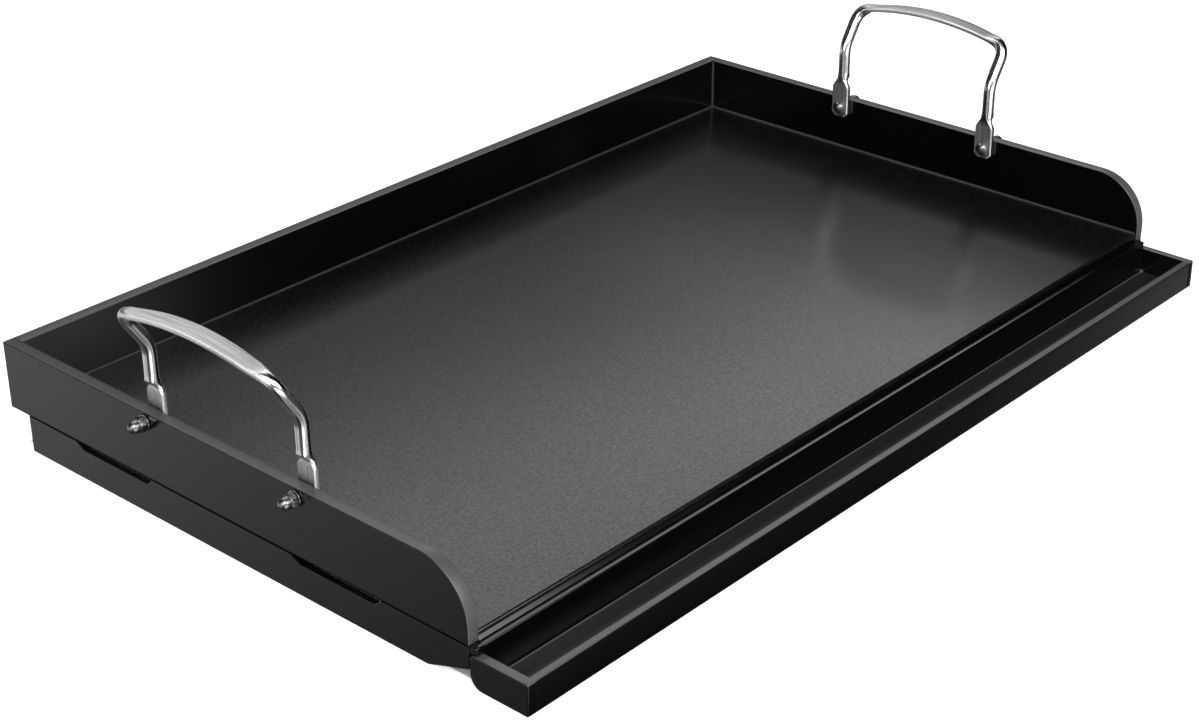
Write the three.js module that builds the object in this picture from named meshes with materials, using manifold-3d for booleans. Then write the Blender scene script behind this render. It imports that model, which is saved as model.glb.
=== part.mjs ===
// A drop-on griddle: a shallow steel pan with three walls and an open front, a grease trough along that
// front, a frame of skirts and ribs under the pan, and a bolted rod handle at each end.
//
// Millimetres. +X runs along the length to the right, +Y to the rear and +Z up. The origin is the middle
// of the footprint, on the plane that the skirts and the trough stand on.

import * as THREE from "three";
import { mergeVertices } from "three/addons/utils/BufferGeometryUtils.js";
import Module from "manifold-3d";

const wasm = await Module();
wasm.setup();

// Pan
const overallLength = 635; // across the outer faces of the end walls
const trayDepth = 370; // rear face of the rear wall to the front ends of the end walls
const rimHeight = 65; // standing plane to the rim
const wallBottom = 23.2; // standing plane to the lower edge of the walls
const endWallThickness = 7.5;
const rearWallThickness = 8.5;
const wallFrontRadius = 32.5; // round top corner at the front of each end wall
const cookingHeight = 28.4; // standing plane to the cooking face
const plateThickness = 3.4;
const plateFrontSetback = 0.5; // front edge of the plate behind the front ends of the end walls
const plateNoseRadius = 1.6;

// Trough
const troughDepth = 38.8; // outer, front to back
const troughSheet = 4.8;
const troughFloor = 2.5;
const troughFrontHeight = 18.8;
const troughRearHeight = 23.8;
const troughRearBend = 8; // outer radius of the bend under the rear wall
const troughFrontBend = 3.5;
const troughInnerBend = 2;
const capThickness = 5.5;
const capHeelRadius = 3; // rear top corner of an end cap

// Frame under the pan
const skirtThickness = 4;
const skirtRearInset = 16.9; // rear ends of the skirts in front of the rear wall's rear face
const skirtToeLength = 29; // sloped lower front corner
const skirtToeRise = 10;
const ventCount = 2; // in each side skirt
const ventLength = 67.3;
const ventHeight = 3.6;
const ventPitch = 180;
const ventRearSlant = 6.8;
const ventFrontSlant = 4.4;
const ribThickness = 3;
const ribFootClearance = 4; // lower edge of a rib above the standing plane
const crossRibCount = 3; // run front to back
const longRibCount = 2; // run along the length
const scallopLength = 50;
const scallopHeight = 7;
const scallopSlant = 7;

// Handles, one at each end
const handleBoltSpacing = 121;
const handleSetForward = 3.9; // middle of the handle in front of the middle of the tray depth
const boltDrop = 6; // bolt axis below the rim
const rodDiameter = 8;
const paddleWidth = 13.5;
const paddleThickness = 3.7;
const paddleBelowBolt = 7;
const paddleCornerCut = 3;
const paddleShoulder = 9.5; // start of the shoulder above the rim
const shoulderRise = 5;
const kneeHeight = 38.5; // bend outwards, above the rim
const kneeReach = 5; // length of the bend on each side of the knee
const gripOffset = 8.2; // middle of the grip outside the outer face of the wall
const gripEndHeight = 62.2; // middle of the bar above the rim, over the legs
const gripRise = 8.8;
const gripEndWidth = 9.5;
const gripMiddleWidth = 12.4;
const gripThickness = 3.3;
const shoulderReach = 10; // length of the bend on each side of a leg's top
const barSides = 16;

// Fasteners, for a 5 mm screw
const screwRadius = 2.35;
const screwHeadRadius = 4.4;
const screwHeadHeight = 3.6;
const boreClearance = 0.35; // radial, round a screw
const nutAcrossFlats = 8;
const nutHexHeight = 3.8;
const nutDomeRadius = 3.75;
const nutHeight = 9.4;
const nutBoreDepth = 7.2;
const washerRadius = 5;
const washerThickness = 1;

const fitGap = 0.3; // between pieces that touch

// Places that follow from the sizes
const totalDepth = trayDepth + fitGap + troughDepth;
const rearY = totalDepth / 2;
const trayFrontY = rearY - trayDepth;
const troughRearY = trayFrontY - fitGap;
const wallInnerX = overallLength / 2 - endWallThickness;
const skirtTop = wallBottom - fitGap;
const plateHalfLength = wallInnerX - fitGap;
const ribTop = cookingHeight - plateThickness - fitGap;
const boltZ = rimHeight - boltDrop;
const handleY = rearY - trayDepth / 2 - handleSetForward;
const screwBore = screwRadius + boreClearance;

const X = new THREE.Vector3(1, 0, 0);
const Y = new THREE.Vector3(0, 1, 0);
const Z = new THREE.Vector3(0, 0, 1);

const coating = { color: 0x1c1c1c, roughness: 0.55, metalness: 0.3 };
const paint = { color: 0x262626, roughness: 0.5, metalness: 0.3 };
const steel = { color: 0xc9cacb, roughness: 0.25, metalness: 1 };
const polished = { color: 0xdadbdc, roughness: 0.12, metalness: 1 };

function outline(points) {
  return new THREE.Shape(points.map(([u, v]) => new THREE.Vector2(u, v)));
}

// Extrudes a shape drawn in (y, z) along +X, or one drawn in (x, z) along -Y, from the mesh's own origin.
function extrudeAlongX(shape, length, curveSegments = 10) {
  const geometry = new THREE.ExtrudeGeometry(shape, { depth: length, bevelEnabled: false, curveSegments });
  return geometry.applyMatrix4(new THREE.Matrix4().makeBasis(Y, Z, X));
}

function extrudeForward(shape, depth) {
  const geometry = new THREE.ExtrudeGeometry(shape, { depth, bevelEnabled: false });
  return geometry.applyMatrix4(new THREE.Matrix4().makeBasis(X, Z, Y.clone().negate()));
}

function solid(geometry) {
  const bare = geometry.index ? geometry.clone() : geometry;
  bare.deleteAttribute("normal");
  bare.deleteAttribute("uv");
  const merged = mergeVertices(bare, 1e-4);
  return new wasm.Manifold(
    new wasm.Mesh({
      numProp: 3,
      vertProperties: new Float32Array(merged.attributes.position.array),
      triVerts: new Uint32Array(merged.index.array),
    }),
  );
}

function geometryOf(manifold) {
  const mesh = manifold.getMesh();
  const geometry = new THREE.BufferGeometry();
  geometry.setAttribute("position", new THREE.BufferAttribute(mesh.vertProperties, 3));
  geometry.setIndex(new THREE.BufferAttribute(mesh.triVerts, 1));
  geometry.computeVertexNormals();
  return geometry;
}

function mirroredInX(geometry) {
  const flipped = geometry.clone().scale(-1, 1, 1);
  const corners = flipped.index.array;
  for (let i = 0; i < corners.length; i += 3) {
    [corners[i], corners[i + 1]] = [corners[i + 1], corners[i]];
  }
  return flipped;
}

// A cylinder along X from x = from to x = to, for bores.
function pinAlongX(radius, from, to, y, z) {
  const pin = new THREE.CylinderGeometry(radius, radius, to - from, 24);
  pin.rotateZ(Math.PI / 2).translate((from + to) / 2, y, z);
  return solid(pin);
}

const griddle = new THREE.Group();

function add(name, geometry, finish, x = 0, y = 0, z = 0) {
  const mesh = new THREE.Mesh(geometry, new THREE.MeshStandardMaterial(finish));
  mesh.name = name;
  mesh.position.set(x, y, z);
  griddle.add(mesh);
}

const sides = [
  { name: "left", sign: -1 },
  { name: "right", sign: 1 },
];
const boltPlaces = [
  { name: "rear", y: handleY + handleBoltSpacing / 2 },
  { name: "front", y: handleY - handleBoltSpacing / 2 },
];

// Cooking plate: a flat sheet between the walls, with a rounded front edge over the trough.
function cookingPlate() {
  const rear = rearY - rearWallThickness - fitGap;
  const front = trayFrontY + plateFrontSetback;
  const top = cookingHeight;
  const bottom = cookingHeight - plateThickness;
  const side = new THREE.Shape();
  side.moveTo(rear, bottom);
  side.lineTo(rear, top);
  side.lineTo(front + plateNoseRadius, top);
  side.absarc(front + plateNoseRadius, top - plateNoseRadius, plateNoseRadius, Math.PI / 2, Math.PI, false);
  side.absarc(front + plateNoseRadius, bottom + plateNoseRadius, plateNoseRadius, Math.PI, 1.5 * Math.PI, false);
  side.closePath();
  add("cooking_plate", extrudeAlongX(side, 2 * plateHalfLength, 6), coating, -plateHalfLength);
}

function rearWall() {
  const face = outline([
    [rearY - rearWallThickness, wallBottom],
    [rearY, wallBottom],
    [rearY, rimHeight],
    [rearY - rearWallThickness, rimHeight],
  ]);
  add("rear_wall", extrudeAlongX(face, 2 * plateHalfLength), paint, -plateHalfLength);
}

// End walls: the rim runs forward and turns down in one arc to the front end of the wall.
function endWalls() {
  const face = new THREE.Shape();
  face.moveTo(rearY, wallBottom);
  face.lineTo(rearY, rimHeight);
  face.lineTo(trayFrontY + wallFrontRadius, rimHeight);
  face.absarc(
    trayFrontY + wallFrontRadius, rimHeight - wallFrontRadius, wallFrontRadius, Math.PI / 2, Math.PI, false,
  );
  face.lineTo(trayFrontY, wallBottom);
  face.closePath();
  for (const { name, sign } of sides) {
    let wall = solid(extrudeAlongX(face, endWallThickness, 16));
    for (const bolt of boltPlaces) {
      wall = wall.subtract(pinAlongX(screwBore, -1, endWallThickness + 1, bolt.y, boltZ));
    }
    add(`${name}_end_wall`, geometryOf(wall), paint, sign > 0 ? wallInnerX : -overallLength / 2);
  }
}

// Trough: a bent channel whose rear wall stands higher than its front, closed by two end caps.
function troughChannel() {
  const front = troughRearY - troughDepth;
  const innerRear = troughRearY - troughSheet;
  const innerFront = front + troughSheet;
  const quarter = Math.PI / 2;
  const section = new THREE.Shape();
  section.moveTo(troughRearY, troughRearHeight);
  section.lineTo(innerRear, troughRearHeight);
  section.absarc(innerRear - troughInnerBend, troughFloor + troughInnerBend, troughInnerBend, 0, -quarter, true);
  section.absarc(
    innerFront + troughInnerBend, troughFloor + troughInnerBend, troughInnerBend, -quarter, -2 * quarter, true,
  );
  section.lineTo(innerFront, troughFrontHeight);
  section.lineTo(front, troughFrontHeight);
  section.absarc(front + troughFrontBend, troughFrontBend, troughFrontBend, 2 * quarter, 3 * quarter, false);
  section.absarc(troughRearY - troughRearBend, troughRearBend, troughRearBend, -quarter, 0, false);
  section.closePath();
  const length = overallLength - 2 * (capThickness + fitGap);
  const channel = solid(extrudeAlongX(section, length, 8).translate(-length / 2, 0, 0));
  const lip = outline([
    [innerRear, troughFrontHeight + fitGap],
    [troughRearY, troughFrontHeight + fitGap],
    [troughRearY, troughRearHeight],
    [innerRear, troughRearHeight],
  ]);
  const rim = solid(extrudeAlongX(lip, overallLength).translate(-overallLength / 2, 0, 0));
  add("trough_channel", geometryOf(channel.add(rim)), paint);
}

function troughCaps() {
  const front = troughRearY - troughDepth;
  const quarter = Math.PI / 2;
  const face = new THREE.Shape();
  face.moveTo(front, troughFrontHeight);
  face.lineTo(front, troughFrontBend);
  face.absarc(front + troughFrontBend, troughFrontBend, troughFrontBend, 2 * quarter, 3 * quarter, false);
  face.absarc(troughRearY - troughRearBend, troughRearBend, troughRearBend, -quarter, 0, false);
  face.absarc(
    troughRearY - capHeelRadius, troughFrontHeight - capHeelRadius, capHeelRadius, 0, quarter, false,
  );
  face.closePath();
  for (const { name, sign } of sides) {
    const x = sign > 0 ? overallLength / 2 - capThickness : -overallLength / 2;
    add(`trough_${name}_cap`, extrudeAlongX(face, capThickness, 8), paint, x);
  }
}

// Side skirts: upright plates flush with the end walls, with slanted vents along the top edge.
function sideSkirts() {
  const rear = rearY - skirtRearInset;
  const corners = [[rear, 0], [rear, skirtTop]];
  const firstVent = rearY - (trayDepth - ventPitch * (ventCount - 1) - ventLength) / 2;
  for (let vent = 0; vent < ventCount; vent += 1) {
    const start = firstVent - vent * ventPitch;
    const end = start - ventLength;
    corners.push([start, skirtTop], [start - ventRearSlant, skirtTop - ventHeight]);
    corners.push([end + ventFrontSlant, skirtTop - ventHeight], [end, skirtTop]);
  }
  corners.push([trayFrontY, skirtTop], [trayFrontY, skirtToeRise], [trayFrontY + skirtToeLength, 0]);
  const face = outline(corners);
  for (const { name, sign } of sides) {
    const x = sign > 0 ? overallLength / 2 - skirtThickness : -overallLength / 2;
    add(`${name}_skirt`, extrudeAlongX(face, skirtThickness), paint, x);
  }
}

function rearSkirt() {
  const length = overallLength - 2 * (skirtThickness + fitGap);
  const face = outline([
    [-length / 2, 0], [length / 2, 0], [length / 2, skirtTop], [-length / 2, skirtTop],
  ]);
  add("rear_skirt", extrudeForward(face, skirtThickness), paint, 0, rearY - skirtRearInset, 0);
}

// Ribs: an egg crate of upright strips under the plate, halved into each other where they cross. The
// lower edge has a slanted scallop in each bay, and a rib that runs on under the walls steps down there.
function ribShape(start, end, bays, slots, slotsFromTop, shoulders) {
  const bottom = ribFootClearance;
  const slotHalf = ribThickness / 2 + fitGap;
  const halfway = (ribTop + bottom) / 2;
  const lower = [[start, bottom]];
  const upper = shoulders
    ? [[start, skirtTop], [-plateHalfLength, skirtTop], [-plateHalfLength, ribTop]]
    : [[start, ribTop]];
  const bayLength = (end - start) / bays;
  for (let bay = 0; bay < bays; bay += 1) {
    const from = start + (bay + 0.5) * bayLength - scallopLength / 2;
    const to = from + scallopLength;
    lower.push([from, bottom], [from + scallopSlant, bottom + scallopHeight]);
    lower.push([to - scallopSlant, bottom + scallopHeight], [to, bottom]);
    if (bay < slots.length) {
      const [edge, mouth, depth] = slotsFromTop
        ? [upper, ribTop, halfway - fitGap / 2]
        : [lower, bottom, halfway + fitGap / 2];
      edge.push([slots[bay] - slotHalf, mouth], [slots[bay] - slotHalf, depth]);
      edge.push([slots[bay] + slotHalf, depth], [slots[bay] + slotHalf, mouth]);
    }
  }
  if (shoulders) {
    upper.push([plateHalfLength, ribTop], [plateHalfLength, skirtTop], [end, skirtTop]);
  } else {
    upper.push([end, ribTop]);
  }
  return outline([...lower, [end, bottom], ...upper.reverse()]);
}

// Middles of the ribs: count places that divide the span from a to b evenly.
function spaced(count, a, b) {
  return Array.from({ length: count }, (_, i) => a + ((b - a) * (i + 1)) / (count + 1));
}

function ribs() {
  const rear = rearY - skirtRearInset - skirtThickness - fitGap;
  const front = trayFrontY + skirtToeLength;
  const innerX = overallLength / 2 - skirtThickness - fitGap;
  const crossX = spaced(crossRibCount, -innerX, innerX);
  const longY = spaced(longRibCount, front, rear);
  const cross = ribShape(front, rear, longRibCount + 1, longY, true, false);
  crossX.forEach((x, i) => {
    add(`cross_rib_${i + 1}`, extrudeAlongX(cross, ribThickness), paint, x - ribThickness / 2);
  });
  const long = ribShape(-innerX, innerX, crossRibCount + 1, crossX, false, true);
  longY.forEach((y, i) => {
    add(`long_rib_${i + 1}`, extrudeForward(long, ribThickness), paint, 0, y + ribThickness / 2, 0);
  });
}

// Handle: one bar, bolted through a flattened paddle at each foot. The legs rise, lean outwards at the
// knees and turn into an arched grip that is flattened across. Stations run from the rear foot to the
// middle of the grip, and the front half is their mirror image.
function handleStations() {
  const halfSpan = handleBoltSpacing / 2;
  const paddleX = wallInnerX - fitGap - paddleThickness / 2;
  const rodX = wallInnerX - fitGap - paddleThickness + rodDiameter / 2;
  const gripX = overallLength / 2 + gripOffset;
  const rod = rodDiameter / 2;
  const foot = boltZ - paddleBelowBolt;
  const shoulder = rimHeight + paddleShoulder;
  const paddle = { through: paddleThickness / 2, square: 1, along: Z };
  const stations = [
    { ...paddle, at: [paddleX, foot], across: paddleWidth / 2 - paddleCornerCut },
    { ...paddle, at: [paddleX, foot + paddleCornerCut], across: paddleWidth / 2 },
    { ...paddle, at: [paddleX, shoulder], across: paddleWidth / 2 },
    { at: [rodX, shoulder + shoulderRise], across: rod, through: rod, square: 0, along: Z },
  ].map((s) => ({ ...s, at: new THREE.Vector3(s.at[0], halfSpan, s.at[1]) }));

  const knee = new THREE.Vector3(rodX, halfSpan, rimHeight + kneeHeight);
  const corner = new THREE.Vector3(gripX, halfSpan, rimHeight + gripEndHeight);
  const lean = corner.clone().sub(knee).normalize();
  const gripLine = (y) => new THREE.Vector3(
    gripX, y, rimHeight + gripEndHeight + gripRise * (1 - (y / halfSpan) ** 2),
  );
  const kneeBend = new THREE.QuadraticBezierCurve3(
    knee.clone().addScaledVector(Z, -kneeReach), knee, knee.clone().addScaledVector(lean, kneeReach),
  );
  const shoulderBend = new THREE.QuadraticBezierCurve3(
    corner.clone().addScaledVector(lean, -shoulderReach), corner, gripLine(halfSpan - shoulderReach),
  );
  const bendSteps = 6;
  for (let i = 0; i <= bendSteps; i += 1) {
    const u = i / bendSteps;
    stations.push({
      at: kneeBend.getPoint(u), along: kneeBend.getTangent(u), across: rod, through: rod, square: 0,
    });
  }
  for (let i = 0; i <= bendSteps; i += 1) {
    const u = i / bendSteps;
    const flat = Math.max(0, 2 * u - 1) ** 2;
    stations.push({
      at: shoulderBend.getPoint(u),
      along: shoulderBend.getTangent(u),
      across: THREE.MathUtils.lerp(rod, gripThickness / 2, flat),
      through: THREE.MathUtils.lerp(rod, gripEndWidth / 2, flat),
      square: 0.7 * flat,
    });
  }
  const gripSteps = 12;
  for (let i = 1; i <= gripSteps; i += 1) {
    const y = (halfSpan - shoulderReach) * (1 - i / gripSteps);
    const widen = 1 - (y / (halfSpan - shoulderReach)) ** 2;
    stations.push({
      at: gripLine(y),
      along: new THREE.Vector3(0, -1, (2 * gripRise * y) / halfSpan ** 2).normalize(),
      across: gripThickness / 2,
      through: THREE.MathUtils.lerp(gripEndWidth, gripMiddleWidth, widen) / 2,
      square: 0.7,
    });
  }
  const frontHalf = stations.slice(0, -1).reverse().map((s) => ({
    ...s,
    at: new THREE.Vector3(s.at.x, -s.at.y, s.at.z),
    along: new THREE.Vector3(-s.along.x, s.along.y, -s.along.z),
  }));
  return [...stations, ...frontHalf];
}

function handleGeometry() {
  const stations = handleStations();
  const steps = stations.length - 1;
  const bar = new THREE.CylinderGeometry(1, 1, 1, barSides, steps);
  const position = bar.attributes.position;
  const across = new THREE.Vector3();
  const through = new THREE.Vector3();
  for (let i = 0; i < position.count; i += 1) {
    const station = stations[Math.round((0.5 - position.getY(i)) * steps)];
    const u = position.getX(i);
    const v = position.getZ(i);
    const toSquare = 1 / Math.max(Math.abs(u), Math.abs(v), 1e-6);
    const swell = Math.hypot(u, v) < 0.5 ? 1 : THREE.MathUtils.lerp(1, toSquare, station.square);
    through.copy(X).addScaledVector(station.along, -X.dot(station.along)).normalize();
    across.crossVectors(station.along, through);
    const point = station.at.clone();
    point.addScaledVector(across, u * swell * station.across);
    point.addScaledVector(through, -v * swell * station.through);
    position.setXYZ(i, point.x, point.y, point.z);
  }
  let handle = solid(bar);
  for (const end of [-1, 1]) {
    const y = (end * handleBoltSpacing) / 2;
    handle = handle.subtract(pinAlongX(screwBore, wallInnerX - 20, wallInnerX + 1, y, boltZ));
  }
  return geometryOf(handle);
}

function handles() {
  const right = handleGeometry();
  for (const { name, sign } of sides) {
    add(`${name}_handle`, sign > 0 ? right : mirroredInX(right), steel, 0, handleY, 0);
  }
}

// Fasteners lie along X. Each is drawn for the right side, with +X outwards, and mirrored for the left.
function screwGeometry() {
  const headBack = wallInnerX - fitGap - paddleThickness - fitGap;
  const tip = overallLength / 2 + fitGap + washerThickness + fitGap + nutBoreDepth - fitGap;
  const points = [new THREE.Vector2(0, tip - headBack), new THREE.Vector2(screwRadius, tip - headBack)];
  points.push(new THREE.Vector2(screwRadius, 0), new THREE.Vector2(screwHeadRadius, 0));
  const domeSteps = 6;
  for (let i = 1; i <= domeSteps; i += 1) {
    const angle = (i / domeSteps) * (Math.PI / 2);
    const radius = i < domeSteps ? screwHeadRadius * Math.cos(angle) : 0;
    points.push(new THREE.Vector2(radius, -screwHeadHeight * Math.sin(angle)));
  }
  const screw = new THREE.LatheGeometry(points.reverse(), 24);
  return geometryOf(solid(screw.rotateZ(-Math.PI / 2).translate(headBack, 0, 0)));
}

function washerGeometry() {
  const inner = overallLength / 2 + fitGap;
  const disc = pinAlongX(washerRadius, inner, inner + washerThickness, 0, 0);
  return geometryOf(disc.subtract(pinAlongX(screwBore, inner - 1, inner + washerThickness + 1, 0, 0)));
}

function nutGeometry() {
  const inner = overallLength / 2 + fitGap + washerThickness + fitGap;
  const hexRadius = nutAcrossFlats / Math.sqrt(3);
  const hex = new THREE.CylinderGeometry(hexRadius, hexRadius, nutHexHeight, 6);
  hex.rotateZ(Math.PI / 2).translate(inner + nutHexHeight / 2, 0, 0);
  const neck = nutHeight - nutDomeRadius;
  const dome = new THREE.SphereGeometry(nutDomeRadius, 24, 12).translate(inner + neck, 0, 0);
  const collar = pinAlongX(nutDomeRadius, inner + nutHexHeight - 0.5, inner + neck, 0, 0);
  const bore = pinAlongX(screwBore, inner - 1, inner + nutBoreDepth, 0, 0);
  return geometryOf(solid(hex).add(collar).add(solid(dome)).subtract(bore));
}

function fasteners() {
  const kinds = [
    { name: "handle_screw", geometry: screwGeometry() },
    { name: "handle_washer", geometry: washerGeometry() },
    { name: "acorn_nut", geometry: nutGeometry() },
  ];
  for (const { name, geometry } of kinds) {
    for (const side of sides) {
      for (const bolt of boltPlaces) {
        const shape = side.sign > 0 ? geometry : mirroredInX(geometry);
        add(`${name}_${side.name}_${bolt.name}`, shape, polished, 0, bolt.y, boltZ);
      }
    }
  }
}

cookingPlate();
rearWall();
endWalls();
troughChannel();
troughCaps();
sideSkirts();
rearSkirt();
ribs();
handles();
fasteners();

export default griddle;
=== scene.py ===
from math import atan2, ceil, cos, pi, radians, sin, tan

import bmesh
import bpy
from mathutils import Matrix, Vector
from mathutils.geometry import tessellate_polygon


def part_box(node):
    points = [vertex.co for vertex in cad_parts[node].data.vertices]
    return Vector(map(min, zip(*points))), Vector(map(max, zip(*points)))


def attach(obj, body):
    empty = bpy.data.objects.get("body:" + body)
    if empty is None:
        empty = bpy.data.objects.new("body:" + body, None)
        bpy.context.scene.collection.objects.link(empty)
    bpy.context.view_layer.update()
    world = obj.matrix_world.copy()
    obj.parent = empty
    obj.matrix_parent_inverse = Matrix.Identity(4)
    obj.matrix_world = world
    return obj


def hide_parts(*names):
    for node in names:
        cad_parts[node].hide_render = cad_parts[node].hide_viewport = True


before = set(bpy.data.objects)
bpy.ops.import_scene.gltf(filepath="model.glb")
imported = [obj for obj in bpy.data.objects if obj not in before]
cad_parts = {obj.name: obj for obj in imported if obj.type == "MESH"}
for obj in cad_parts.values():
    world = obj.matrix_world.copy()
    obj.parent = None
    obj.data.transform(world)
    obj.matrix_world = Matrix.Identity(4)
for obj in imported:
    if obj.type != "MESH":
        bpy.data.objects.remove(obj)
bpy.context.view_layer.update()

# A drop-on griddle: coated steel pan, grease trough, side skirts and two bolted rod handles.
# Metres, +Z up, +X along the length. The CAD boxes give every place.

mm = 0.001
sides = {"left": -1, "right": 1}
cloudRange = (0.3, 0.7)  # what a soft noise mostly stays within
speckRange = (0.36, 0.64)  # a narrower range, which makes the pattern stand out


def toLinear(hexColour):
    channels = [int(hexColour[i:i + 2], 16) / 255 for i in (1, 3, 5)]
    return [c / 12.92 if c <= 0.04045 else ((c + 0.055) / 1.055) ** 2.4 for c in channels] + [1.0]


def addNode(tree, kind, settings=None, sockets=None):
    node = tree.nodes.new(kind)
    for name, value in (settings or {}).items():
        setattr(node, name, value)
    for name, value in (sockets or {}).items():
        if isinstance(value, bpy.types.NodeSocket):
            tree.links.new(value, node.inputs[name])
        else:
            node.inputs[name].default_value = value
    return node


def startFinish(name):
    material = bpy.data.materials.new(name)
    material.use_nodes = True
    tree = material.node_tree
    return material, tree, tree.nodes["Principled BSDF"]


def makeNonstick():
    # Sprayed PTFE-type nonstick on blasted steel: deep black, satin, with the fine dimpled grain
    # that keeps the whole cooking face from mirroring and lifts it to grey towards the light.
    # Real grain is near 0.3 mm; it is drawn at 1.3 and 1.8 mm, coarse enough to show.
    grain = {"dimple": 1.3 * mm, "speck": 1.8 * mm, "cloud": 90 * mm, "dimpleDepth": 0.025 * mm,
             "dark": "#020202", "light": "#161616", "smooth": 0.235, "rough": 0.25,
             "glossLow": 0.38, "glossHigh": 0.64, "ior": 1.5}
    material, tree, shader = startFinish("sprayedNonstick")
    place = addNode(tree, "ShaderNodeTexCoord").outputs["Object"]
    dimples = addNode(tree, "ShaderNodeTexNoise", None,
                      {"Vector": place, "Scale": 1 / grain["dimple"], "Detail": 2.0, "Roughness": 0.6})
    specks = addNode(tree, "ShaderNodeTexNoise", None,
                     {"Vector": place, "Scale": 1 / grain["speck"], "Detail": 3.0, "Roughness": 0.75})
    clouds = addNode(tree, "ShaderNodeTexNoise", None,
                     {"Vector": place, "Scale": 1 / grain["cloud"], "Detail": 2.0})
    strong = addNode(tree, "ShaderNodeMapRange", None,
                     {"Value": specks.outputs["Fac"], "From Min": speckRange[0],
                      "From Max": speckRange[1]})
    tint = addNode(tree, "ShaderNodeMix", {"data_type": "RGBA"},
                   {"Factor": strong.outputs["Result"], 6: toLinear(grain["dark"]),
                    7: toLinear(grain["light"])})
    sheen = addNode(tree, "ShaderNodeMapRange", None,
                    {"Value": clouds.outputs["Fac"], "From Min": cloudRange[0],
                     "From Max": cloudRange[1], "To Min": grain["smooth"], "To Max": grain["rough"]})
    gloss = addNode(tree, "ShaderNodeMapRange", None,
                    {"Value": specks.outputs["Fac"], "From Min": speckRange[0],
                     "From Max": speckRange[1], "To Min": grain["glossLow"],
                     "To Max": grain["glossHigh"]})
    relief = addNode(tree, "ShaderNodeBump", None,
                     {"Height": dimples.outputs["Fac"], "Strength": 1.0,
                      "Distance": grain["dimpleDepth"]})
    tree.links.new(tint.outputs[2], shader.inputs["Base Color"])
    tree.links.new(sheen.outputs["Result"], shader.inputs["Roughness"])
    tree.links.new(gloss.outputs["Result"], shader.inputs["Specular IOR Level"])
    tree.links.new(relief.outputs["Normal"], shader.inputs["Normal"])
    shader.inputs["IOR"].default_value = grain["ior"]
    return material


def makePowderCoat(name, dark, light, smooth, rough):
    # Baked powder coat on folded sheet: smooth black with a faint orange peel, so flats read dark and
    # plain. Rims and cut edges get a painted highlight, a grey line round each sheet, and are rougher.
    # The peel has its real 2 mm pitch; the dust in it is drawn at 0.8 mm, coarse enough to show.
    # edge is the painted highlight colour of rims and cut edges, edgeRough their roughness
    coat = {"peel": 2.2 * mm, "peelDepth": 0.012 * mm, "dust": 0.8 * mm, "cloud": 60 * mm,
            "edge": "#484848", "edgeRough": 0.38, "ior": 1.5}
    material, tree, shader = startFinish(name)
    place = addNode(tree, "ShaderNodeTexCoord").outputs["Object"]
    peel = addNode(tree, "ShaderNodeTexNoise", None,
                   {"Vector": place, "Scale": 1 / coat["peel"], "Detail": 1.5})
    dust = addNode(tree, "ShaderNodeTexNoise", None,
                   {"Vector": place, "Scale": 1 / coat["dust"], "Detail": 2.0, "Roughness": 0.7})
    clouds = addNode(tree, "ShaderNodeTexNoise", None,
                     {"Vector": place, "Scale": 1 / coat["cloud"], "Detail": 2.0})
    tint = addNode(tree, "ShaderNodeMix", {"data_type": "RGBA"},
                   {"Factor": dust.outputs["Fac"], 6: toLinear(dark), 7: toLinear(light)})
    sheen = addNode(tree, "ShaderNodeMapRange", None,
                    {"Value": clouds.outputs["Fac"], "From Min": cloudRange[0],
                     "From Max": cloudRange[1], "To Min": smooth, "To Max": rough})
    relief = addNode(tree, "ShaderNodeBump", None,
                     {"Height": peel.outputs["Fac"], "Strength": 1.0, "Distance": coat["peelDepth"]})
    # painted highlight: marked rims and cut edges are mixed to the grey edge colour and made rougher
    cut = addNode(tree, "ShaderNodeAttribute", {"attribute_name": "rimHighlight"}).outputs["Fac"]
    paintedRimColour = addNode(tree, "ShaderNodeMix", {"data_type": "RGBA"},
                   {"Factor": cut, 6: tint.outputs[2], 7: toLinear(coat["edge"])})
    dull = addNode(tree, "ShaderNodeMix", {"data_type": "FLOAT"},
                   {"Factor": cut, "A": sheen.outputs["Result"], "B": coat["edgeRough"]})
    tree.links.new(paintedRimColour.outputs[2], shader.inputs["Base Color"])
    tree.links.new(dull.outputs[0], shader.inputs["Roughness"])
    tree.links.new(relief.outputs["Normal"], shader.inputs["Normal"])
    shader.inputs["IOR"].default_value = coat["ior"]
    return material


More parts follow.
